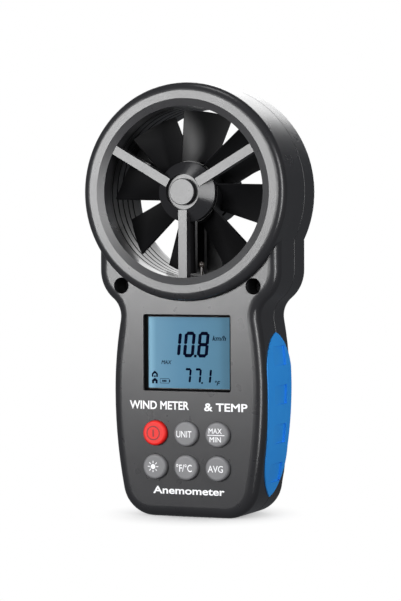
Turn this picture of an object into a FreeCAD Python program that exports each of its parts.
import FreeCAD, Part
import math
import os
import Sketcher

V = FreeCAD.Vector

# Handheld vane anemometer, millimetres.
# X runs across the handle, Y from the front face to the back, Z up along the handle.
# The origin is under the middle of the handle: centre of width and of depth, at the base.

# ---------------------------------------------------------------- driving sizes

SIZES = {
    # whole body
    "body_depth": 35.0,
    "ring_height": 123.65,
    "ring_radius": 41.35,
    "face_depth": 4.33,
    "parting_depth": 21.8,
    # handle outline, half widths and the arcs between them
    "shoulder_half": 37.12,
    "shoulder_round": 14.2,
    "waist_half": 28.7,
    "waist_round": 8.5,
    "upper_bow": 155.0,
    "belly_half": 31.24,
    "belly_height": 47.6,
    "lower_bow": 195.0,
    "foot_round": 12.7,
    "edge_round": 4.2,
    "back_round": 2.8,
    # moulding walls
    "side_wall": 3.0,
    "face_wall": 2.2,
    "seam_bevel": 0.25,
    # ring front, from the outer round inwards
    "ring_round": 3.2,
    "crest_radius": 35.25,
    "crest_drop": 0.73,
    "duct_radius": 32.45,
    "lip_wall": 2.5,
    "rim_wall": 1.75,
    "rim_depth": 3.5,
    "collar_wall": 1.2,
    "groove_count": 5,
    "groove_width": 1.1,
    "groove_depth": 0.4,
    # front spider and its hub
    "spoke_width": 3.45,
    "spoke_depth": 3.6,
    "cap_radius": 5.05,
    "cap_thickness": 2.2,
    "bore_clearance": 0.02,
    "moat_radius": 6.75,
    "cone_radius": 11.45,
    "cone_depth": 4.3,
    "hub_skirt": 1.3,
    # impeller
    "blade_count": 8,
    "hub_radius": 11.8,
    "hub_front": 7.4,
    "hub_length": 13.2,
    "blade_radius": 30.9,
    "blade_root_chord": 12.6,
    "blade_tip_chord": 19.6,
    "blade_root_pitch": 42.0,
    "blade_tip_pitch": 33.0,
    "blade_root_depth": 11.4,
    "blade_tip_depth": 14.1,
    "blade_thickness": 0.9,
    "blade_camber": 0.9,
    "blade_first_angle": 124.7,
    # shaft line
    "shaft_radius": 0.75,
    "shaft_clearance": 0.04,
    "bearing_radius": 2.0,
    "bearing_length": 3.0,
    "magnet_radius": 4.0,
    "magnet_length": 2.4,
    # rear spider
    "strut_front": 23.4,
    "strut_depth": 7.0,
    "strut_width": 4.6,
    "cable_bar_width": 6.3,
    "cable_bar_gap": 1.0,
    "housing_radius": 12.1,
    "housing_wall": 1.3,
    "cable_hole_radius": 1.1,
    # display
    "window_half": 17.96,
    "window_bottom": 48.03,
    "window_top": 77.25,
    "window_thickness": 1.0,
    "window_ledge": 0.9,
    "window_corner": 0.8,
    "frame_border": 1.05,
    "frame_wall": 1.6,
    "frame_lip": 0.3,
    "glass_ledge": 1.0,
    "glass_thickness": 1.3,
    "contact_band": 2.6,
    # keys
    "key_pitch": 12.81,
    "key_row_height": 25.63,
    "key_radius": 4.75,
    "key_rise": 1.93,
    "key_round": 0.9,
    "key_gap": 0.15,
    "key_flange": 0.9,
    "flange_thickness": 0.8,
    "key_travel": 0.8,
    "dome_radius": 3.1,
    "mat_thickness": 0.8,
    "pill_radius": 1.3,
    "pill_thickness": 0.5,
    # main board
    "board_front": 10.0,
    "board_thickness": 1.6,
    "board_half": 24.6,
    "board_bottom": 9.6,
    "board_top": 80.6,
    "post_x": 22.6,
    "post_low": 12.6,
    "post_high": 74.0,
    "post_radius": 2.1,
    "post_pilot": 0.8,
    # case screws
    "well_x": 27.07,
    "well_height": 88.07,
    "well_radius": 3.1,
    "well_boss": 5.0,
    "well_floor": 5.0,
    "screw_radius": 1.45,
    "screw_clearance": 0.15,
    "low_screw_x": 18.5,
    "low_screw_height": 6.9,
    "low_screw_boss": 2.5,
    "low_head_boss": 3.6,
    "low_head_radius": 2.4,
    "low_head_depth": 2.2,
    "screw_hole": 9.0,
    # battery and its bay
    "battery_half": 13.25,
    "battery_depth": 17.4,
    "battery_length": 48.5,
    "battery_bottom": 10.9,
    "foot_gap": 2.3,
    "battery_corner": 2.2,
    "jacket_wall": 0.4,
    "bay_gap": 0.8,
    "bay_wall": 1.2,
    "bay_head": 5.5,
    "lead_slot_half": 3.5,
    "lead_slot_depth": 6.2,
    "cover_thickness": 1.4,
    "cover_border": 2.2,
    "cover_gap": 0.2,
    "hook_near": 6.0,
    "hook_far": 10.0,
    "hook_post": 0.8,
    "hook_toe": 1.4,
    "hook_toe_depth": 1.1,
    "hook_reach": 2.6,
    "pull_half": 6.0,
    "pull_height": 3.0,
    "pull_depth": 0.7,
    # back insert
    "insert_height": 74.4,
    "insert_radius": 4.6,
    "insert_bore": 2.6,
    "insert_length": 9.0,
    "insert_wall": 1.7,
    # side grips
    "grip_mid_depth": 20.9,
    "grip_front_depth": 8.35,
    "grip_top": 70.2,
    "grip_bottom": 7.3,
    "grip_shoulder": 57.0,
    "grip_heel": 26.0,
    "grip_heel_inset": 1.6,
    "grip_inlay": 1.6,
    "grip_proud": 0.35,
    "notch_depth": 0.9,
    "notch_height": 7.4,
    "notch_pitch": 14.9,
    "notch_top": 61.3,
    "notch_front": 15.2,
    "notch_back": 28.4,
}

doc = FreeCAD.newDocument("WeatherMeter")
sheet = doc.addObject("Spreadsheet::Sheet", "Sizes")
for row, (alias, number) in enumerate(SIZES.items(), start=1):
    sheet.set(f"A{row}", alias)
    sheet.set(f"B{row}", str(number))
    sheet.setAlias(f"B{row}", alias)
doc.recompute()


class Size:
    """A length that knows its value and the sheet expression it comes from."""

    def __init__(self, value, text):
        self.value = value
        self.text = text

    @staticmethod
    def of(other):
        return other if isinstance(other, Size) else Size(other, repr(other))

    def __add__(self, other):
        other = Size.of(other)
        return Size(self.value + other.value, f"({self.text} + {other.text})")

    def __sub__(self, other):
        other = Size.of(other)
        return Size(self.value - other.value, f"({self.text} - {other.text})")

    def __mul__(self, other):
        other = Size.of(other)
        return Size(self.value * other.value, f"({self.text} * {other.text})")

    def __truediv__(self, other):
        other = Size.of(other)
        return Size(self.value / other.value, f"({self.text} / {other.text})")

    def __neg__(self):
        return Size(-self.value, f"(-1 * {self.text})")

    __radd__ = __add__
    __rmul__ = __mul__

    def __rsub__(self, other):
        return Size.of(other) - self


class Sheet:
    """Reads a named size from the spreadsheet."""

    def __getattr__(self, alias):
        return Size(float(sheet.get(alias)), "Sizes." + alias)


D = Sheet()
ZERO = Size(0.0, "0")

# Planes across the body, as Y positions
FRONT = -D.body_depth / 2
BACK = D.body_depth / 2
FACE = FRONT + D.face_depth
FACE_INSIDE = FACE + D.face_wall
PARTING = FRONT + D.parting_depth
BACK_INSIDE = BACK - D.face_wall
BOARD_FRONT = FRONT + D.board_front
BOARD_BACK = BOARD_FRONT + D.board_thickness

# ---------------------------------------------------------------- helpers

parts = []


def bind(thing, prop, size):
    thing.setExpression(prop, Size.of(size).text)


def new_body(label):
    body = doc.addObject("PartDesign::Body", label)
    body.Label = label
    parts.append(body)
    return body


def place(thing, x=ZERO, y=ZERO, z=ZERO):
    for axis, size in zip("xyz", (x, y, z)):
        bind(thing, "Placement.Base." + axis, size)


def place_on_shaft_line(thing):
    """Origin on the ring's axis in the plane of the ring's front, so local Y is depth."""
    place(thing, ZERO, FRONT, D.ring_height)


def origin_part(body, role):
    return next(o for o in body.Origin.OriginFeatures if o.Role == role)


def new_sketch(body, role, offset=ZERO):
    """Sketch on an origin plane of its own body, moved along the plane's normal."""
    sketch = body.newObject("Sketcher::SketchObject", "Sketch")
    sketch.AttachmentSupport = [(origin_part(body, role), "")]
    sketch.MapMode = "FlatFace"
    bind(sketch, "AttachmentOffset.Base.z", offset)
    return sketch


def front_sketch(body, y):
    """Sketch seen from the front: sketch x is X, sketch y is Z, at depth plane y."""
    return new_sketch(body, "XZ_Plane", -Size.of(y))


def constrain(sketch, kind, where, size):
    size = Size.of(size)
    index = sketch.addConstraint(Sketcher.Constraint(kind, *where, size.value))
    name = f"{kind}_{index}"
    sketch.renameConstraint(index, name)
    bind(sketch, "Constraints." + name, size)


def pin_point(sketch, geometry, position, x, y):
    """Holds a point of a sketch at named distances from the sketch's origin."""
    for kind, size in (("DistanceX", Size.of(x)), ("DistanceY", Size.of(y))):
        if size.text == "0":
            axis = -2 if kind == "DistanceX" else -1
            sketch.addConstraint(Sketcher.Constraint("PointOnObject", geometry, position, axis))
        else:
            constrain(sketch, kind, (geometry, position), size)


def polygon(sketch, corners, arcs=None):
    """Closed outline through pinned corners. arcs gives edge number to (centre, radius)."""
    corners = [(Size.of(x), Size.of(y)) for x, y in corners]
    count = len(corners)
    edges = []
    for i in range(count):
        a, b = (tuple(c.value for c in corners[j % count]) for j in (i, i + 1))
        if arcs and i in arcs:
            centre, radius = arcs[i]
            middle = tuple(Size.of(c).value for c in centre)
            turn_way = (a[0] - middle[0]) * (b[1] - middle[1]) - (a[1] - middle[1]) * (b[0] - middle[0])
            arc = arc_about(middle, radius.value, a, b, turn_way > 0)
            index = sketch.addGeometry(arc, False)
            constrain(sketch, "Radius", (index,), radius)
            edges.append((index, 1, 2) if turn_way > 0 else (index, 2, 1))
        else:
            index = sketch.addGeometry(Part.LineSegment(V(*a, 0), V(*b, 0)), False)
            edges.append((index, 1, 2))
    for i, (index, start, end) in enumerate(edges):
        after = edges[(i + 1) % count]
        sketch.addConstraint(Sketcher.Constraint("Coincident", index, end, after[0], after[1]))
    for (index, start, end), (x, y) in zip(edges, corners):
        pin_point(sketch, index, start, x, y)


def rectangle(sketch, left, right, low, high):
    polygon(sketch, [(left, low), (right, low), (right, high), (left, high)])


def circle(sketch, x, y, radius):
    x, y, radius = Size.of(x), Size.of(y), Size.of(radius)
    shape = Part.Circle(V(x.value, y.value, 0), V(0, 0, 1), radius.value)
    index = sketch.addGeometry(shape, False)
    pin_point(sketch, index, 3, x, y)
    constrain(sketch, "Radius", (index,), radius)


def settle(feature):
    """Recomputes and stops at once if the feature has failed."""
    doc.recompute()
    if "Invalid" in feature.State or "Error" in feature.State or feature.Shape.isNull():
        raise RuntimeError(f"{feature.Name} failed: {feature.getStatusString()}")
    return feature


def extrude(body, kind, sketch, length, towards_back):
    """Pad or Pocket a front sketch by a length, towards the front or towards the back."""
    before = body.Tip.Shape.Volume if body.Tip and kind == "Pocket" else None
    feature = body.newObject("PartDesign::" + kind, kind)
    feature.Profile = sketch
    bind(feature, "Length", length)
    feature.Reversed = towards_back if kind == "Pad" else not towards_back
    settle(feature)
    if before is not None and before - feature.Shape.Volume < 0.01:
        raise RuntimeError(f"{body.Label}: {feature.Name} cut nothing")
    return feature


def pad(body, sketch, length, towards_back=False):
    return extrude(body, "Pad", sketch, length, towards_back)


def pocket(body, sketch, length, towards_back=True):
    return extrude(body, "Pocket", sketch, length, towards_back)


def turn(body, profile, kind="Revolution"):
    """Revolves a (depth, radius) profile about the body's own Y axis, or grooves it away."""
    sketch = new_sketch(body, "YZ_Plane")
    polygon(sketch, profile)
    feature = body.newObject("PartDesign::" + kind, kind)
    feature.Profile = sketch
    feature.ReferenceAxis = (sketch, ["H_Axis"])
    feature.Angle = 360
    return settle(feature)


def round_edges(body, radius, picks, kind="Fillet"):
    """Fillets or chamfers the tip's edges that a test picks."""
    base = body.Tip
    names = [f"Edge{i}" for i, e in enumerate(base.Shape.Edges, start=1) if picks(e)]
    feature = body.newObject("PartDesign::" + kind, kind)
    feature.Base = (base, names)
    bind(feature, "Radius" if kind == "Fillet" else "Size", radius)
    return settle(feature)


def is_along_y(edge):
    return edge.BoundBox.XLength < 1e-4 and edge.BoundBox.ZLength < 1e-4


def is_upright(edge):
    return edge.BoundBox.XLength < 1e-4 and edge.BoundBox.YLength < 1e-4


def in_plane_y(edge, y):
    box = edge.BoundBox
    return abs(box.YMin - y) < 1e-4 and abs(box.YMax - y) < 1e-4


def feature_part(label, shape):
    thing = doc.addObject("Part::Feature", label)
    thing.Label = label
    thing.Shape = shape
    parts.append(thing)
    return thing


def box(x0, x1, y0, y1, z0, z1):
    """Plain block between six planes."""
    x0, x1, y0, y1, z0, z1 = (Size.of(s).value for s in (x0, x1, y0, y1, z0, z1))
    return Part.makeBox(x1 - x0, y1 - y0, z1 - z0, V(x0, y0, z0))


def rod(x, y, z, radius, length, direction=V(0, 1, 0)):
    x, y, z, radius, length = (Size.of(s).value for s in (x, y, z, radius, length))
    return Part.makeCylinder(radius, length, V(x, y, z), direction)


# ---------------------------------------------------------------- handle outline

# The outline is a shoulder line, a convex and a concave round into the waist, two long
# bows that meet at the belly, and a foot round into the flat base. Moving every line in
# by an inset shrinks the convex radii and grows the concave one about the same centres.


def outline_centres():
    """Centres of the arcs of the right side, as plain numbers."""
    s, w, b = D.shoulder_half.value, D.waist_half.value, D.belly_half.value
    r_shoulder, r_waist = D.shoulder_round.value, D.waist_round.value
    r_upper, r_lower, r_foot = D.upper_bow.value, D.lower_bow.value, D.foot_round.value
    z_belly = D.belly_height.value
    upper = (b - r_upper, z_belly)
    waist_x = w + r_waist
    waist = (waist_x, z_belly + math.sqrt((r_upper + r_waist) ** 2 - (waist_x - upper[0]) ** 2))
    shoulder_x = s - r_shoulder
    rise = math.sqrt((r_shoulder + r_waist) ** 2 - (waist_x - shoulder_x) ** 2)
    shoulder = (shoulder_x, waist[1] + rise)
    lower = (b - r_lower, z_belly)
    foot_x = lower[0] + math.sqrt((r_lower - r_foot) ** 2 - (z_belly - r_foot) ** 2)
    return shoulder, waist, upper, lower, (foot_x, r_foot)


def between(a, b, distance):
    """Point on the way from a to b at a distance from a."""
    span = math.hypot(b[0] - a[0], b[1] - a[1])
    return (a[0] + (b[0] - a[0]) * distance / span, a[1] + (b[1] - a[1]) * distance / span)


def outline_joints(inset):
    """Points where the pieces of the right side meet, from the shoulder line to the base."""
    shoulder, waist, upper, lower, foot = outline_centres()
    r_shoulder = D.shoulder_round.value - inset
    r_upper = D.upper_bow.value - inset
    r_lower = D.lower_bow.value - inset
    return [
        (D.shoulder_half.value - inset, D.ring_height.value),
        (D.shoulder_half.value - inset, shoulder[1]),
        between(shoulder, waist, r_shoulder),
        between(upper, waist, r_upper),
        (D.belly_half.value - inset, D.belly_height.value),
        between(lower, foot, r_lower),
        (foot[0], inset),
    ]


def arc_radii(inset):
    inset = Size.of(inset)
    return [
        D.shoulder_round - inset,
        D.waist_round + inset,
        D.upper_bow - inset,
        D.lower_bow - inset,
        D.foot_round - inset,
    ]


def arc_about(centre, radius, start, end, anticlockwise):
    a0 = math.atan2(start[1] - centre[1], start[0] - centre[0])
    a1 = math.atan2(end[1] - centre[1], end[0] - centre[0])
    if not anticlockwise:
        a0, a1 = a1, a0
    whole = Part.Circle(V(centre[0], centre[1], 0), V(0, 0, 1), radius)
    return Part.ArcOfCircle(whole, a0, a1)


def outline(sketch, inset=ZERO):
    """Draws the closed handle outline, moved in by an inset."""
    inset = Size.of(inset)
    joints = outline_joints(inset.value)
    centres = outline_centres()
    radii = arc_radii(inset)
    ends = []
    for side in (1, -1):
        points = [(side * x, z) for x, z in joints]
        line = Part.LineSegment(V(*points[0], 0), V(*points[1], 0))
        line_index = sketch.addGeometry(line, False)
        sketch.addConstraint(Sketcher.Constraint("Vertical", line_index))
        pin_point(sketch, line_index, 1, side * (D.shoulder_half - inset), D.ring_height)
        last = (line_index, 2)
        for i, (centre, radius) in enumerate(zip(centres, radii)):
            convex = i != 1
            forward = (side == 1) != convex
            middle = (side * centre[0], centre[1])
            arc = arc_about(middle, radius.value, points[i + 1], points[i + 2], forward)
            index = sketch.addGeometry(arc, False)
            start, end = (1, 2) if forward else (2, 1)
            sketch.addConstraint(Sketcher.Constraint("Tangent", *last, index, start))
            constrain(sketch, "Radius", (index,), radius)
            if i == 1:
                constrain(sketch, "DistanceX", (index, 3), side * (D.waist_half + D.waist_round))
            if i == 2:
                pin_point(sketch, index, 3, side * (D.belly_half - D.upper_bow), D.belly_height)
            last = (index, end)
        ends.append((line_index, last))
    (right_line, right_foot), (left_line, left_foot) = ends
    foot_points = [(joints[-1][0], inset.value), (-joints[-1][0], inset.value)]
    base = sketch.addGeometry(Part.LineSegment(V(*foot_points[0], 0), V(*foot_points[1], 0)), False)
    sketch.addConstraint(Sketcher.Constraint("Tangent", *right_foot, base, 1))
    sketch.addConstraint(Sketcher.Constraint("Tangent", base, 2, *left_foot))
    if inset.text == "0":
        sketch.addConstraint(Sketcher.Constraint("PointOnObject", base, 1, -1))
    else:
        constrain(sketch, "DistanceY", (base, 1), inset)
    top = [(-joints[0][0], joints[0][1]), joints[0]]
    top_line = sketch.addGeometry(Part.LineSegment(V(*top[0], 0), V(*top[1], 0)), False)
    sketch.addConstraint(Sketcher.Constraint("Coincident", top_line, 1, left_line, 1))
    sketch.addConstraint(Sketcher.Constraint("Coincident", top_line, 2, right_line, 1))


def outline_prism(inset, y0, y1):
    """Solid of the handle outline between two depth planes, for the pieces that hug it."""
    inset = Size.of(inset).value
    joints = outline_joints(inset)
    centres = outline_centres()
    radii = [r.value for r in arc_radii(inset)]
    y0, y1 = Size.of(y0).value, Size.of(y1).value
    edges = []
    for side in (1, -1):
        at = [V(side * x, y0, z) for x, z in joints]
        edges.append(Part.makeLine(at[0], at[1]))
        for i, (centre, radius) in enumerate(zip(centres, radii)):
            a, b = joints[i + 1], joints[i + 2]
            mid = ((a[0] + b[0]) / 2, (a[1] + b[1]) / 2)
            mid = between(centre, mid, radius)
            arc = Part.Arc(at[i + 1], V(side * mid[0], y0, mid[1]), at[i + 2])
            edges.append(arc.toShape())
    for x, z in (joints[0], joints[-1]):
        edges.append(Part.makeLine(V(x, y0, z), V(-x, y0, z)))
    wire = Part.Wire(Part.__sortEdges__(edges))
    return Part.Face(wire).extrude(V(0, y1 - y0, 0))


# ---------------------------------------------------------------- side grips

# Seen from the side a grip is a lens: a long, nearly straight front edge with rounded
# shoulders that meet at a top and a bottom tip, and the same again mirrored behind.


def lens_prism(side):
    """The grip's side outline as a prism that runs out of one side of the handle."""
    mid = (FRONT + D.grip_mid_depth).value
    reach = (D.grip_mid_depth - D.grip_front_depth).value
    heel = reach - D.grip_heel_inset.value
    top, bottom = D.grip_top.value, D.grip_bottom.value
    shoulder, heel_z = D.grip_shoulder.value, D.grip_heel.value
    # points of one half, as (distance from the middle line, height)
    tip_arc = [(0, top), (reach * 0.74, shoulder + (top - shoulder) * 0.55), (reach, shoulder)]
    long_arc = [(reach, shoulder), ((reach + heel) / 2 + 0.35, (shoulder + heel_z) / 2), (heel, heel_z)]
    heel_arc = [(heel, heel_z), (heel * 0.7, bottom + (heel_z - bottom) * 0.33), (0, bottom)]
    edges = []
    for way in (-1, 1):
        for arc in (tip_arc, long_arc, heel_arc):
            points = [V(0, mid + way * reach_y, z) for reach_y, z in arc]
            edges.append(Part.Arc(*points).toShape())
    wire = Part.Wire(Part.__sortEdges__(edges))
    return Part.Face(wire).extrude(V(side * 2 * D.shoulder_half.value, 0, 0))


def grip_space(side, outside):
    """Everything outside the inlay floor, within the lens."""
    low, high = FRONT - 1, BACK + 1
    floor = outline_prism(D.grip_inlay, low, high)
    space = lens_prism(side).cut(floor)
    if outside is not None:
        space = space.common(outline_prism(-outside, low, high))
    return max(space.Solids, key=lambda solid: solid.Volume)


def side_at(height):
    """Half width of the handle at a height between foot and waist, and its lean."""
    bow = D.upper_bow.value if height > D.belly_height.value else D.lower_bow.value
    rise = height - D.belly_height.value
    half = D.belly_half.value - bow + math.sqrt(bow * bow - rise * rise)
    return half, math.degrees(math.asin(rise / bow))


def thumb_notch(side, number):
    """Wedge that leaves the skin at its front edge and is deepest at its back edge."""
    height = D.notch_top.value - number * D.notch_pitch.value
    half, lean = side_at(height)
    front, back = (FRONT + D.notch_front).value, (FRONT + D.notch_back).value
    deep, above = D.notch_depth.value, 2.0
    corners = [V(0, front, 0), V(-deep, back, 0), V(above, back, 0), V(above, front, 0)]
    wedge = Part.Face(Part.makePolygon(corners + corners[:1]))
    tall = D.notch_height.value
    wedge.translate(V(0, 0, -tall / 2))
    wedge = wedge.extrude(V(0, 0, tall))
    wedge.rotate(V(0, 0, 0), V(0, 1, 0), -lean)
    wedge.translate(V(half + D.grip_proud.value, 0, height))
    return wedge if side > 0 else wedge.mirror(V(0, 0, 0), V(1, 0, 0))


def make_grip(label, side):
    grip = grip_space(side, D.grip_proud)
    for number in range(4):
        grip = grip.cut(thumb_notch(side, number))
    feature_part(label, grip)


# ---------------------------------------------------------------- case halves

KEY_COLUMNS = (-1, 0, 1)
KEY_ROWS = (0.5, -0.5)
KEY_PLACES = [(col * D.key_pitch, D.key_row_height + row * D.key_pitch)
              for row in KEY_ROWS for col in KEY_COLUMNS]
WELLS = [(side * D.well_x, D.well_height) for side in (-1, 1)]
LOW_SCREWS = [(side * D.low_screw_x, D.low_screw_height) for side in (-1, 1)]
POSTS = [(side * D.post_x, z) for side in (-1, 1) for z in (D.post_low, D.post_high)]
BAY_HALF = D.battery_half + D.bay_gap
BAY_BOTTOM = D.battery_bottom - D.foot_gap
BAY_TOP = D.battery_bottom + D.battery_length + D.bay_head
BATTERY_BACK = BACK_INSIDE - D.bay_gap - 0.2
BATTERY_FRONT = BATTERY_BACK - D.battery_depth
BAY_FRONT = BATTERY_FRONT - 0.2
HINGE_HEIGHT = BAY_BOTTOM - D.cover_border + D.cover_gap


def hook_edges(side, room):
    """Left and right edge of one hook of the battery door, with room beside it if asked."""
    near, far = side * (D.hook_near - room), side * (D.hook_far + room)
    return (near, far) if side > 0 else (far, near)


def circles_pad(body, y, spots, radius, length, towards_back=False):
    sketch = front_sketch(body, y)
    for x, z in spots:
        circle(sketch, x, z, radius)
    return pad(body, sketch, length, towards_back)


def circles_pocket(body, y, spots, radius, length, towards_back=True):
    sketch = front_sketch(body, y)
    for x, z in spots:
        circle(sketch, x, z, radius)
    return pocket(body, sketch, length, towards_back)


def block_pocket(body, y, edges, length, towards_back=True):
    sketch = front_sketch(body, y)
    rectangle(sketch, *edges)
    return pocket(body, sketch, length, towards_back)


def ring_band(body, profile, outer_round):
    """Turns the ring's (depth plane, radius) profile. Its first edge is the outer round."""
    sketch = new_sketch(body, "YZ_Plane")
    (y0, _), (y1, _) = profile[:2]
    centre_y = y1 if profile[0][0].value in (FRONT.value, BACK.value) else y0
    arcs = {0: ((centre_y, D.ring_height + D.ring_radius - outer_round), outer_round)}
    polygon(sketch, [(y, D.ring_height + radius) for y, radius in profile], arcs)
    axis = Part.LineSegment(V(FRONT.value, D.ring_height.value, 0), V(BACK.value, D.ring_height.value, 0))
    line = sketch.addGeometry(axis, True)
    pin_point(sketch, line, 1, FRONT, D.ring_height)
    pin_point(sketch, line, 2, BACK, D.ring_height)
    feature = body.newObject("PartDesign::Revolution", "Ring")
    feature.Profile = sketch
    feature.ReferenceAxis = (sketch, ["Axis0"])
    feature.Angle = 360
    settle(feature)


def is_circle_at(edge, y, radius):
    curve = edge.Curve
    if not isinstance(curve, Part.Circle) or not in_plane_y(edge, y):
        return False
    return abs(curve.Radius - radius) < 1e-3 and abs(curve.Center.x) < 1e-3


def bevel_seam(body):
    """Small bevel round the outside of a half where the two halves meet."""
    inner = outline_prism(D.side_wall * 0.5, PARTING - 1, PARTING + 1)
    ring = rod(ZERO, PARTING - 1, D.ring_height, D.ring_radius - D.side_wall * 0.5, Size.of(2))

    def outside(edge):
        if not in_plane_y(edge, PARTING.value):
            return False
        middle = edge.valueAt((edge.FirstParameter + edge.LastParameter) / 2)
        return not inner.isInside(middle, 1e-4, True) and not ring.isInside(middle, 1e-4, True)

    round_edges(body, D.seam_bevel, outside, "Chamfer")


def make_front_case():
    body = doc.addObject("PartDesign::Body", "FrontShell")
    sketch = front_sketch(body, PARTING)
    outline(sketch)
    pad(body, sketch, PARTING - FACE)
    round_edges(body, D.edge_round, lambda e: in_plane_y(e, FACE.value))
    ring_band(body, [
        (FRONT, D.ring_radius - D.ring_round), (FRONT + D.ring_round, D.ring_radius),
        (PARTING, D.ring_radius), (PARTING, D.duct_radius), (FRONT + D.crest_drop, D.duct_radius),
        (FRONT, D.crest_radius),
    ], D.ring_round)
    bevel_seam(body)
    ring = [(ZERO, D.ring_height)]
    circles_pocket(body, PARTING, ring, D.duct_radius, PARTING - FRONT, False)
    # hollow of the handle, then of the ring, leaving a collar for the duct parts
    sketch = front_sketch(body, PARTING)
    outline(sketch, D.side_wall)
    pocket(body, sketch, PARTING - FACE_INSIDE, towards_back=False)
    lip = FRONT + D.lip_wall
    circles_pocket(body, PARTING, ring, D.ring_radius - D.side_wall, PARTING - lip, False)
    outer = D.duct_radius + D.rim_wall + D.cover_gap * 0.5
    circles_pad(body, lip, ring, outer + D.collar_wall, PARTING - lip, True)
    circles_pocket(body, PARTING, ring, outer, PARTING - lip, False)
    # display opening with a ledge behind it for the window
    edges = (-D.window_half, D.window_half, D.window_bottom, D.window_top)
    block_pocket(body, FACE - 1, edges, D.face_wall + 1)
    corner_x, corner_z = D.window_half.value, (D.window_bottom.value, D.window_top.value)
    round_edges(body, D.window_corner, lambda e: is_along_y(e) and abs(abs(e.BoundBox.XMax) - corner_x) < 1e-3
                and min(abs(e.BoundBox.ZMax - z) for z in corner_z) < 1e-3)
    grow = D.window_ledge + D.cover_gap * 0.5
    edges = (-(D.window_half + grow), D.window_half + grow, D.window_bottom - grow, D.window_top + grow)
    block_pocket(body, FACE_INSIDE, edges, D.window_thickness, False)
    circles_pocket(body, FACE - 1, KEY_PLACES, D.key_radius + D.key_gap, D.face_wall + 1)
    # posts, wells and screw holes
    circles_pad(body, FACE_INSIDE, WELLS, D.well_boss, PARTING - FACE_INSIDE, True)
    circles_pocket(body, FACE - 1, WELLS, D.well_radius, PARTING - D.well_floor - FACE + 1)
    circles_pocket(body, PARTING, WELLS, D.screw_radius + D.screw_clearance, D.well_floor + 1, False)
    circles_pad(body, FACE_INSIDE, POSTS, D.post_radius, BOARD_FRONT - FACE_INSIDE, True)
    circles_pocket(body, BOARD_FRONT, POSTS, D.post_pilot, BOARD_FRONT - FACE_INSIDE - 0.3, False)
    circles_pad(body, FACE_INSIDE, LOW_SCREWS, D.low_screw_boss, PARTING - FACE_INSIDE, True)
    circles_pocket(body, PARTING, LOW_SCREWS, D.screw_radius - D.screw_clearance * 2, D.screw_hole, False)
    finish_case("front_case", body)


def make_rear_case():
    body = doc.addObject("PartDesign::Body", "RearShell")
    sketch = front_sketch(body, PARTING)
    outline(sketch)
    pad(body, sketch, BACK - PARTING, True)
    round_edges(body, D.back_round, lambda e: in_plane_y(e, BACK.value))
    ring_band(body, [
        (BACK, D.ring_radius - D.back_round), (BACK - D.back_round, D.ring_radius),
        (PARTING, D.ring_radius), (PARTING, D.duct_radius), (BACK, D.duct_radius),
    ], D.back_round)
    bevel_seam(body)
    ring = [(ZERO, D.ring_height)]
    circles_pocket(body, PARTING, ring, D.duct_radius, BACK - PARTING)
    sketch = front_sketch(body, PARTING)
    outline(sketch, D.side_wall)
    pocket(body, sketch, BACK_INSIDE - PARTING)
    circles_pocket(body, PARTING, ring, D.ring_radius - D.side_wall, BACK_INSIDE - PARTING)
    # battery bay: a box that reaches from the back wall to its own floor
    wall = D.bay_wall
    sketch = front_sketch(body, BACK_INSIDE)
    rectangle(sketch, -(BAY_HALF + wall), BAY_HALF + wall, BAY_BOTTOM - wall, BAY_TOP + wall)
    pad(body, sketch, BACK_INSIDE - BAY_FRONT + wall)
    block_pocket(body, BACK, (-BAY_HALF, BAY_HALF, BAY_BOTTOM, BAY_TOP), BACK - BAY_FRONT, False)
    border = D.cover_border
    edges = (-(BAY_HALF + border), BAY_HALF + border, BAY_BOTTOM - border, BAY_TOP + border)
    block_pocket(body, BACK, edges, D.cover_thickness, False)
    # room for the two hooks at the foot of the door, and a slot for the battery leads
    for side in (-1, 1):
        near, far = hook_edges(side, 0.6)
        edges = (near, far, BAY_BOTTOM - wall - 0.2, BAY_BOTTOM + 0.1)
        block_pocket(body, BACK_INSIDE, edges, D.hook_reach - 0.2, False)
    edges = (-D.lead_slot_half, D.lead_slot_half, BAY_TOP - 0.1, BAY_TOP + wall + 0.1)
    block_pocket(body, BAY_FRONT, edges, D.lead_slot_depth)
    # bosses
    circles_pad(body, BACK_INSIDE, WELLS, D.well_boss, BACK_INSIDE - PARTING)
    circles_pocket(body, PARTING, WELLS, D.screw_radius - D.screw_clearance, D.screw_hole)
    circles_pad(body, BACK_INSIDE, LOW_SCREWS, D.low_head_boss, BACK_INSIDE - PARTING)
    circles_pocket(body, BACK, LOW_SCREWS, D.screw_radius + D.screw_clearance, BACK - PARTING, False)
    circles_pocket(body, BACK, LOW_SCREWS, D.low_head_radius + D.screw_clearance, D.low_head_depth,
                   False)
    insert = [(ZERO, D.insert_height)]
    circles_pad(body, BACK_INSIDE, insert, D.insert_radius + D.insert_wall,
                D.insert_length + D.insert_wall - D.face_wall)
    circles_pocket(body, BACK, insert, D.insert_radius, D.insert_length, False)
    finish_case("rear_case", body)


def finish_case(label, body):
    """The case half is the shell less the two recesses that the grips fill."""
    recess = doc.addObject("Part::Feature", "GripRecess")
    recess.Shape = Part.makeCompound([grip_space(side, None) for side in (-1, 1)])
    case = doc.addObject("Part::Cut", label)
    case.Label = label
    case.Base = body
    case.Tool = recess
    parts.append(case)
    doc.recompute()


# ---------------------------------------------------------------- duct and spiders

RIM_INNER = D.duct_radius
RIM_OUTER = D.duct_radius + D.rim_wall
RIM_BACK = D.body_depth - D.face_wall
REAR_RIM_FRONT = RIM_BACK - D.rim_depth
CABLE_X = -(D.cable_bar_width + D.cable_bar_gap) / 2
CABLE_DEPTH = D.strut_front + D.strut_depth * 0.35


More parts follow.
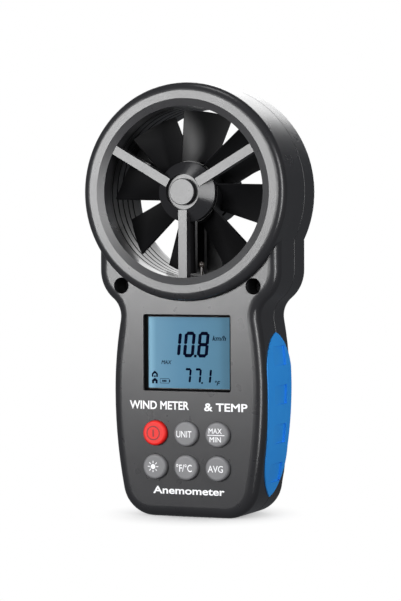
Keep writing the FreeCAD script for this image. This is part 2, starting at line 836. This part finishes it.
def cable_hole(body, length):
    """Upward hole for the sensor cable, through the middle of the left of the two bottom bars."""
    sketch = new_sketch(body, "XY_Plane", -(RIM_OUTER + 1))
    circle(sketch, CABLE_X, CABLE_DEPTH, D.cable_hole_radius)
    extrude(body, "Pocket", sketch, length, False)


def make_duct_liner():
    """Glossy tube between the two spider rims, with shallow grooves round its bore."""
    body = new_body("duct_liner")
    front = D.lip_wall + D.rim_depth
    profile = [(front, RIM_INNER), (front, RIM_OUTER), (REAR_RIM_FRONT, RIM_OUTER), (REAR_RIM_FRONT, RIM_INNER)]
    pitch = (REAR_RIM_FRONT - front) / D.groove_count
    for groove in reversed(range(int(D.groove_count.value))):
        start = front + pitch * (groove + 0.5) - D.groove_width / 2
        floor = RIM_INNER + D.groove_depth
        profile += [(start + D.groove_width, RIM_INNER), (start + D.groove_width, floor), (start, floor),
                    (start, RIM_INNER)]
    turn(body, profile)
    cable_hole(body, D.rim_wall * 3)
    place_on_shaft_line(body)
    doc.recompute()


def spokes(body, front, depth, half_width, inner, outer):
    """Three straight bars round the shaft line, one of them pointing down."""
    sketch = front_sketch(body, front)
    rectangle(sketch, -half_width, half_width, -outer, -inner)
    bar = pad(body, sketch, depth, True)
    pattern = body.newObject("PartDesign::PolarPattern", "Around")
    pattern.Originals = [bar]
    pattern.Axis = (sketch, ["N_Axis"])
    pattern.Angle = 360
    pattern.Occurrences = 3
    body.Tip = pattern
    doc.recompute()


def make_front_spider():
    body = new_body("front_spider")
    back = D.cone_depth + D.crest_drop + D.hub_skirt
    bore = D.bearing_radius
    turn(body, [
        (D.crest_drop, D.moat_radius), (D.crest_drop + D.cone_depth, D.cone_radius), (back, D.cone_radius),
        (back, bore), (D.cap_thickness, bore), (D.cap_thickness, D.moat_radius),
    ])
    spokes(body, D.crest_drop, D.spoke_depth, D.spoke_width / 2, D.moat_radius + 0.1,
           D.duct_radius + D.rim_wall * 0.5)
    rim_front = D.lip_wall
    turn(body, [(rim_front, RIM_INNER), (rim_front, RIM_OUTER), (rim_front + D.rim_depth, RIM_OUTER),
                (rim_front + D.rim_depth, RIM_INNER)])
    # the bars stop at the bore of the case's front lip, and reach the rim behind it
    far, bore_fit = RIM_OUTER + 2, RIM_INNER - D.bore_clearance
    turn(body, [(ZERO - 1, bore_fit), (ZERO - 1, far), (rim_front, far), (rim_front, bore_fit)], "Groove")
    place_on_shaft_line(body)
    doc.recompute()


def make_front_hub_cap():
    body = new_body("front_hub_cap")
    back = D.cap_thickness
    turn(body, [(ZERO, ZERO), (ZERO, D.cap_radius), (back, D.cap_radius), (back, ZERO)])
    round_edges(body, Size.of(0.3), lambda e: is_circle_at(e, 0.0, D.cap_radius.value))
    place_on_shaft_line(body)
    doc.recompute()


HUB_BACK = D.hub_front + D.hub_length
FRONT_BEARING_BACK = D.crest_drop + D.cone_depth + D.hub_skirt
HOUSING_FRONT = D.strut_front - 1.4
REAR_BEARING_FRONT = HOUSING_FRONT
HOUSING_BACK = RIM_BACK - 1.6


def make_rear_spider():
    body = new_body("rear_spider")
    wall = D.housing_wall
    turn(body, [
        (HOUSING_FRONT, D.bearing_radius), (HOUSING_FRONT, D.housing_radius),
        (HOUSING_BACK, D.housing_radius), (HOUSING_BACK, D.housing_radius - wall),
        (HOUSING_FRONT + D.bearing_length, D.housing_radius - wall),
        (HOUSING_FRONT + D.bearing_length, D.bearing_radius),
    ])
    inner = D.housing_radius - wall * 0.5
    outer = RIM_INNER + D.rim_wall * 0.5
    spokes(body, D.strut_front, D.strut_depth, D.strut_width / 2, inner, outer)
    # the bottom strut is a pair of bars, so the plain one is widened and then slit
    half = D.cable_bar_width + D.cable_bar_gap / 2
    sketch = front_sketch(body, D.strut_front)
    rectangle(sketch, -half, half, -outer, -inner)
    pad(body, sketch, D.strut_depth, True)
    sketch = front_sketch(body, D.strut_front - 1)
    rectangle(sketch, -D.cable_bar_gap / 2, D.cable_bar_gap / 2, -(RIM_INNER - 0.6), -(D.housing_radius + 0.3))
    pocket(body, sketch, D.strut_depth + 2)
    turn(body, [(REAR_RIM_FRONT, RIM_INNER), (REAR_RIM_FRONT, RIM_OUTER), (RIM_BACK, RIM_OUTER),
                (RIM_BACK, RIM_INNER)])
    # the bars stop at the liner's bore, and reach the rim behind it
    bars_front, far, bore_fit = D.strut_front - 1, RIM_OUTER + 2, RIM_INNER - D.bore_clearance
    turn(body, [(bars_front, bore_fit), (bars_front, far), (REAR_RIM_FRONT, far), (REAR_RIM_FRONT, bore_fit)],
         "Groove")
    cable_hole(body, RIM_OUTER - D.housing_radius + wall + 4)
    place_on_shaft_line(body)
    doc.recompute()


# ---------------------------------------------------------------- impeller and shaft line

def blade_section(radius, chord, pitch, depth):
    """Thin cambered section across a radius, as a closed wire. The blade points along +X."""
    half, thick, camber = chord / 2, D.blade_thickness.value / 2, D.blade_camber.value
    along = V(0, math.sin(math.radians(pitch)), -math.cos(math.radians(pitch)))
    across = V(0, math.cos(math.radians(pitch)), math.sin(math.radians(pitch)))
    middle = V(radius, depth, 0)

    def at(u, v):
        return middle + along * u + across * v

    top = Part.Arc(at(-half, thick), at(0, thick + camber), at(half, thick)).toShape()
    low = Part.Arc(at(half, -thick), at(0, camber - thick), at(-half, -thick)).toShape()
    ends = [Part.makeLine(at(half, thick), at(half, -thick)),
            Part.makeLine(at(-half, -thick), at(-half, thick))]
    return Part.Wire([top, ends[0], low, ends[1]])


def make_impeller():
    """Eight twisted blades on a hub that is bored for the shaft and cupped for the magnet."""
    root = blade_section(D.hub_radius.value * 0.8, D.blade_root_chord.value,
                         D.blade_root_pitch.value, D.blade_root_depth.value)
    tip = blade_section(D.blade_radius.value + 1, D.blade_tip_chord.value,
                        D.blade_tip_pitch.value, D.blade_tip_depth.value)
    blade = Part.makeLoft([root, tip], True, True)
    front, length = D.hub_front.value, D.hub_length.value
    swept = Part.makeCylinder(D.blade_radius.value, D.body_depth.value, V(0, 0, 0), V(0, 1, 0))
    blade = blade.common(swept)
    hub = Part.makeCylinder(D.hub_radius.value, length, V(0, front, 0), V(0, 1, 0))
    count = int(D.blade_count.value)
    blades = []
    for i in range(count):
        copy = blade.copy()
        copy.rotate(V(0, 0, 0), V(0, 1, 0), -(D.blade_first_angle.value - i * 360 / count))
        blades.append(copy)
    wheel = hub.multiFuse(blades)
    cup_depth = D.magnet_length.value + 0.2
    cup = Part.makeCylinder(D.hub_radius.value - 1.6, 4.0, V(0, front - 1, 0), V(0, 1, 0))
    core = Part.makeCylinder(3.4, 4.0, V(0, front - 1, 0), V(0, 1, 0))
    seat = Part.makeCylinder(D.magnet_radius.value, cup_depth, V(0, front + length - cup_depth, 0), V(0, 1, 0))
    bore = Part.makeCylinder(D.shaft_radius.value, length + 2, V(0, front - 1, 0), V(0, 1, 0))
    wheel = wheel.cut(cup.cut(core)).cut(seat).cut(bore)
    thing = feature_part("impeller", wheel.removeSplitter())
    place_on_shaft_line(thing)


def tube_part(label, front, back, outer, inner):
    body = new_body(label)
    turn(body, [(front, inner), (front, outer), (back, outer), (back, inner)])
    place_on_shaft_line(body)
    doc.recompute()


SHAFT_FRONT = FRONT_BEARING_BACK - D.bearing_length + 0.3
SHAFT_BACK = REAR_BEARING_FRONT + D.bearing_length - 0.3
MAGNET_BACK = HUB_BACK
HALL_BOARD_FRONT = HOUSING_FRONT + D.bearing_length + 1.4


def make_shaft_line():
    bore = D.shaft_radius + D.shaft_clearance
    tube_part("front_bearing", FRONT_BEARING_BACK - D.bearing_length, FRONT_BEARING_BACK,
              D.bearing_radius, bore)
    tube_part("rear_bearing", REAR_BEARING_FRONT, REAR_BEARING_FRONT + D.bearing_length,
              D.bearing_radius, bore)
    tube_part("impeller_shaft", SHAFT_FRONT, SHAFT_BACK, D.shaft_radius, ZERO)
    tube_part("sensor_magnet", MAGNET_BACK - D.magnet_length, MAGNET_BACK, D.magnet_radius, D.shaft_radius)
    board_radius = D.housing_radius - D.housing_wall - 0.2
    tube_part("hall_board", HALL_BOARD_FRONT, HALL_BOARD_FRONT + 1.0, board_radius, Size.of(2.6))
    tube_part("rear_hub_cover", HOUSING_BACK, HOUSING_BACK + 1.2, D.housing_radius, ZERO)
    chip = doc.addObject("Part::Box", "hall_sensor")
    chip.Label = "hall_sensor"
    bind(chip, "Length", 4.0)
    bind(chip, "Width", 1.3)
    bind(chip, "Height", 3.0)
    place(chip, Size.of(-2.0), FRONT + HALL_BOARD_FRONT - 1.3, D.ring_height + 3.6)
    parts.append(chip)


# ---------------------------------------------------------------- wires

def smooth_path(points):
    """Straight runs joined by tangent arcs, as one wire."""
    points = [V(*p) for p in points]
    edges, at = [], points[0]
    for before, here, after in zip(points, points[1:], points[2:]):
        a, b = before - here, after - here
        run = min(a.Length, b.Length) * 0.45
        start, end = here + a.normalize() * run, here + b.normalize() * run
        turn_half = (math.pi - a.getAngle(b)) / 2
        radius = run / math.tan(turn_half)
        centre = here + (a + b).normalize() * (radius / math.cos(turn_half))
        middle = centre + (here - centre).normalize() * radius
        edges += [Part.makeLine(at, start), Part.Arc(start, middle, end).toShape()]
        at = end
        print(f"bend radius {radius:.1f} mm")
    edges.append(Part.makeLine(at, points[-1]))
    return Part.Wire(edges)


def wire_tube(points, radius):
    path = smooth_path(points)
    direction = V(*points[1]) - V(*points[0])
    ring = Part.Wire(Part.Circle(V(*points[0]), direction, radius).toShape())
    tube = path.makePipeShell([ring], True, True)
    expected = math.pi * radius ** 2 * path.Length
    if abs(tube.Volume / expected - 1) > 0.01:
        raise RuntimeError("a wire's volume is off")
    return tube


def make_sensor_cable():
    """From the hub housing down the left bar, then forward to the top of the main board."""
    x, y = CABLE_X.value, (FRONT + CABLE_DEPTH).value
    start = (D.ring_height - D.housing_radius + D.housing_wall + 0.4).value
    below_duct = (D.ring_height - RIM_OUTER - 2.6).value
    board, landing = BOARD_BACK.value, (D.board_top - 3.1).value
    points = [(x, y, start), (x, y, below_duct), (x, y - 5.4, landing + 2.1), (x, board + 4.2, landing),
              (x, board, landing)]
    feature_part("sensor_cable", wire_tube(points, 0.8))


def make_thermistor():
    """Glass bead on a short stem that stands on the bottom of the duct."""
    stem_radius, stem_length, bead_radius, aside = 0.5, 3.4, 1.1, 6.3
    y = (FRONT + D.lip_wall + D.rim_depth * 0.55).value
    foot = D.ring_height.value - math.sqrt(D.duct_radius.value ** 2 - (aside + stem_radius) ** 2) + 0.1
    stem = Part.makeCylinder(stem_radius, stem_length, V(aside, y, foot), V(0, 0, 1))
    bead = Part.makeSphere(bead_radius, V(aside, y, foot + stem_length + bead_radius * 0.7))
    feature_part("thermistor", stem.fuse(bead))


# ---------------------------------------------------------------- display

WINDOW_FRONT = FACE_INSIDE - D.window_thickness
FRAME_FRONT = FACE_INSIDE
FRAME_BACK = BOARD_FRONT
GLASS_FRONT = FRAME_FRONT + D.frame_lip
GLASS_BACK = GLASS_FRONT + D.glass_thickness
VIEW_HALF = D.window_half - D.frame_border
VIEW_BOTTOM = D.window_bottom + D.frame_border
VIEW_TOP = D.window_top - D.frame_border
GLASS_HALF = VIEW_HALF + D.glass_ledge
GLASS_BOTTOM = VIEW_BOTTOM - D.glass_ledge
GLASS_TOP = VIEW_TOP + D.contact_band


def slab(label, left, right, low, high, front, back, corner=None):
    """Rectangular plate between two depth planes, with its long edges rounded if asked."""
    body = new_body(label)
    sketch = front_sketch(body, back)
    rectangle(sketch, left, right, low, high)
    pad(body, sketch, back - front)
    if corner is not None:
        round_edges(body, corner, is_along_y)
    return body


def upright_block(label, half, front, back, low, height, corner, wall=None):
    """Block that stands along Z with rounded upright edges, or a sleeve if it is given a wall."""
    body = new_body(label)
    sketch = new_sketch(body, "XY_Plane", low)
    rectangle(sketch, -half, half, front, back)
    extrude(body, "Pad", sketch, height, False)
    if wall is None:
        round_edges(body, corner, is_upright)
        return
    sketch = new_sketch(body, "XY_Plane", low)
    rectangle(sketch, wall - half, half - wall, front + wall, back - wall)
    extrude(body, "Pocket", sketch, height, False)
    wall_middle = (half - wall / 2).value
    round_edges(body, corner - wall, lambda e: is_upright(e) and abs(e.BoundBox.XMax) < wall_middle)
    round_edges(body, corner, lambda e: is_upright(e) and abs(e.BoundBox.XMax) > wall_middle)


def make_display():
    grow = D.window_ledge
    slab("lcd_window", -(D.window_half + grow), D.window_half + grow, D.window_bottom - grow,
         D.window_top + grow, WINDOW_FRONT, FACE_INSIDE)
    wall, fit = D.frame_wall, 0.1
    frame = slab("lcd_frame", -(GLASS_HALF + wall), GLASS_HALF + wall, GLASS_BOTTOM - wall,
                 GLASS_TOP + wall, FRAME_FRONT, FRAME_BACK)
    block_pocket(frame, FRAME_FRONT - 1, (-VIEW_HALF, VIEW_HALF, VIEW_BOTTOM, VIEW_TOP), D.frame_lip + 2)
    edges = (-(GLASS_HALF + fit), GLASS_HALF + fit, GLASS_BOTTOM - fit, GLASS_TOP + fit)
    block_pocket(frame, FRAME_BACK, edges, FRAME_BACK - GLASS_FRONT, False)
    slab("lcd_panel", -GLASS_HALF, GLASS_HALF, GLASS_BOTTOM, GLASS_TOP, GLASS_FRONT, GLASS_BACK)
    slab("backlight_panel", -GLASS_HALF, GLASS_HALF, GLASS_BOTTOM, VIEW_TOP, GLASS_BACK, BOARD_FRONT - 0.1)
    slab("zebra_strip", -(GLASS_HALF - 1), GLASS_HALF - 1, VIEW_TOP + 0.5, VIEW_TOP + 2.1,
         GLASS_BACK, BOARD_FRONT)


# ---------------------------------------------------------------- main board

def make_main_board():
    board = slab("main_board", -D.board_half, D.board_half, D.board_bottom, D.board_top,
                 BOARD_FRONT, BOARD_BACK, Size.of(2.0))
    circles_pocket(board, BOARD_FRONT - 1, POSTS, Size.of(1.1), D.board_thickness + 2)
    side = 10.0
    slab("controller_chip", Size.of(7.0), Size.of(7.0) + side, D.board_top - 6 - side, D.board_top - 6,
         BOARD_BACK, BOARD_BACK + 1.2)
    # a crystal, a capacitor and a regulator: across, below the board's top, width, height, depth
    small_parts = ((-15.0, 10.0, 3.2, 3.2, 1.1), (-14.0, 17.0, 4.0, 2.5, 1.1), (13.0, 21.0, 2.0, 4.0, 1.0))
    blocks = []
    for x, below, width, tall, deep in small_parts:
        z = D.board_top.value - below
        blocks.append(box(x - width / 2, x + width / 2, BOARD_BACK, BOARD_BACK + deep,
                          z - tall / 2, z + tall / 2))
    feature_part("board_components", Part.makeCompound(blocks))


def screws(label, spots, tip, under_head, radius, head_radius, head_height, towards_back):
    """Identical screws with a cross recess, heads at one plane and tips at another."""
    solids = []
    way = 1 if towards_back else -1
    tip, under_head = Size.of(tip).value, Size.of(under_head).value
    radius, head_radius = Size.of(radius).value, Size.of(head_radius).value
    low_y = min(tip, under_head)
    shank = abs(tip - under_head)
    for x, z in spots:
        x, z = Size.of(x).value, Size.of(z).value
        stem = Part.makeCylinder(radius, shank, V(x, low_y, z), V(0, 1, 0))
        head = Part.makeCylinder(head_radius, head_height, V(x, under_head, z), V(0, way, 0))
        screw = stem.fuse(head)
        top = under_head + way * head_height
        for wide, tall in ((head_radius * 1.2, 0.5), (0.5, head_radius * 1.2)):
            slot = Part.makeBox(wide, 1.2, tall, V(x - wide / 2, top - 0.6, z - tall / 2))
            screw = screw.cut(slot)
        solids.append(screw)
    feature_part(label, Part.makeCompound(solids))


def make_fasteners():
    well_floor = PARTING - D.well_floor
    screws("shoulder_screws", WELLS, PARTING + 8, well_floor, D.screw_radius - D.screw_clearance,
           D.well_radius - 0.3, 1.9, False)
    head_seat = BACK - D.low_head_depth
    screws("lower_case_screws", LOW_SCREWS, PARTING - 8, head_seat, D.screw_radius - D.screw_clearance * 2,
           D.low_head_radius, 1.7, True)
    screws("board_screws", POSTS, BOARD_FRONT - 2.6, BOARD_BACK, D.post_pilot, Size.of(1.8), 1.1, True)
    insert = new_body("tripod_insert")
    sketch = front_sketch(insert, BACK)
    circle(sketch, ZERO, D.insert_height, D.insert_radius)
    circle(sketch, ZERO, D.insert_height, D.insert_bore)
    pad(insert, sketch, D.insert_length)


# ---------------------------------------------------------------- keypad

MAT_FRONT = BOARD_FRONT - D.mat_thickness
FLANGE_FRONT = FACE_INSIDE + 0.05
FLANGE_BACK = FLANGE_FRONT + D.flange_thickness
DOME_FRONT = FLANGE_BACK + 0.05
KEY_NAMES = ("power_key", "unit_key", "max_min_key", "backlight_key", "temperature_unit_key",
             "average_key")


def make_key(label, x, z):
    """Round cap with a wider flange that the face holds in."""
    body = new_body(label)
    sketch = front_sketch(body, FLANGE_BACK)
    circle(sketch, ZERO, ZERO, D.key_radius + D.key_flange)
    pad(body, sketch, D.flange_thickness)
    sketch = front_sketch(body, FLANGE_FRONT)
    circle(sketch, ZERO, ZERO, D.key_radius)
    pad(body, sketch, FLANGE_FRONT - FACE + D.key_rise)
    top = (FACE - D.key_rise).value
    round_edges(body, D.key_round, lambda e: is_circle_at(e, top, D.key_radius.value))
    place(body, x, ZERO, z)
    doc.recompute()


def make_keypad():
    """Silicone mat with a hollow dome under each key and a carbon pill in each dome."""
    mat = new_body("keypad_mat")
    margin = D.dome_radius + 1.2
    half, rise = D.key_pitch + margin, D.key_pitch * 0.5 + margin
    sketch = front_sketch(mat, BOARD_FRONT)
    rectangle(sketch, -half, half, D.key_row_height - rise, D.key_row_height + rise)
    pad(mat, sketch, D.mat_thickness)
    circles_pad(mat, MAT_FRONT, KEY_PLACES, D.dome_radius, MAT_FRONT - DOME_FRONT)
    hollow = BOARD_FRONT - DOME_FRONT - D.mat_thickness
    circles_pocket(mat, BOARD_FRONT, KEY_PLACES, D.dome_radius - 0.6, hollow, False)
    front = DOME_FRONT + D.mat_thickness
    pills = [rod(x, front, z, D.pill_radius, D.pill_thickness) for x, z in KEY_PLACES]
    feature_part("carbon_pills", Part.makeCompound(pills))
    for name, (x, z) in zip(KEY_NAMES, KEY_PLACES):
        make_key(name, x, z)


# ---------------------------------------------------------------- battery and door

def make_battery():
    low, high = D.battery_bottom, D.battery_bottom + D.battery_length
    wall = D.jacket_wall
    upright_block("battery", D.battery_half - wall, BATTERY_FRONT + wall, BATTERY_BACK - wall, low,
                  D.battery_length, D.battery_corner - wall)
    upright_block("battery_jacket", D.battery_half, BATTERY_FRONT, BATTERY_BACK, low, D.battery_length,
                  D.battery_corner, wall)
    middle = (BATTERY_FRONT + BATTERY_BACK) / 2
    snap_top = high + 3.4
    slab("battery_snap", -(D.battery_half - 0.8), D.battery_half - 0.8, high, snap_top,
         middle - 5.5, middle + 5.5, Size.of(1.5))
    slab("battery_foam", -D.battery_half * 0.7, D.battery_half * 0.7, BAY_BOTTOM, low,
         BATTERY_FRONT + 3, BATTERY_BACK - 3)
    leads = []
    lead_y, board_y = (middle - 4.2).value, BOARD_BACK.value
    start, turn = snap_top.value, (BAY_TOP + D.bay_wall + 4.4).value
    for x in (-1.3, 1.3):
        leads.append(wire_tube([(x, lead_y, start), (x, lead_y, turn), (x, board_y, turn)], 0.55))
    feature_part("battery_leads", Part.makeCompound(leads))


def make_battery_cover():
    """Door flush with the back, with two hooks at its foot and a finger notch at its head."""
    border = D.cover_border - D.cover_gap
    inner = BACK - D.cover_thickness
    post_top = HINGE_HEIGHT + D.hook_toe + D.hook_post + 1.0
    cover = slab("battery_cover", -(BAY_HALF + border), BAY_HALF + border, BAY_BOTTOM - border,
                 BAY_TOP + border, inner, BACK)
    for side in (-1, 1):
        near, far = hook_edges(side, 0.0)
        sketch = front_sketch(cover, inner)
        rectangle(sketch, near, far, post_top - D.hook_post, post_top)
        pad(cover, sketch, D.hook_reach)
        sketch = front_sketch(cover, inner - D.hook_reach + D.hook_toe_depth)
        rectangle(sketch, near, far, post_top - D.hook_post - D.hook_toe, post_top)
        pad(cover, sketch, D.hook_toe_depth)
    sketch = front_sketch(cover, BACK)
    pull_top = BAY_TOP - 1.0
    rectangle(sketch, -D.pull_half, D.pull_half, pull_top - D.pull_height, pull_top)
    pocket(cover, sketch, D.pull_depth, False)


# ---------------------------------------------------------------- build and write

make_front_case()
make_rear_case()
make_duct_liner()
make_front_spider()
make_front_hub_cap()
make_rear_spider()
make_impeller()
make_shaft_line()
make_sensor_cable()
make_thermistor()
make_display()
make_main_board()
make_keypad()
make_fasteners()
make_battery()
make_battery_cover()
make_grip("left_grip", -1)
make_grip("right_grip", 1)
doc.recompute()

failed = [o.Name for o in doc.Objects if "Invalid" in o.State or "Error" in o.State]
if failed:
    raise RuntimeError("failed objects: " + ", ".join(failed))
for part in parts:
    if part.Shape.isNull() or not part.Shape.isValid():
        raise RuntimeError(part.Label + " has no valid shape")

os.makedirs("parts", exist_ok=True)
for part in parts:
    part.Shape.exportStep(f"parts/{part.Label}.step")
    box_of = part.Shape.BoundBox
    print(f"{part.Label:22s} solids {len(part.Shape.Solids)}  volume {part.Shape.Volume:9.1f}  "
          f"X {box_of.XMin:7.2f} {box_of.XMax:7.2f}  Y {box_of.YMin:7.2f} {box_of.YMax:7.2f}  "
          f"Z {box_of.ZMin:7.2f} {box_of.ZMax:7.2f}")
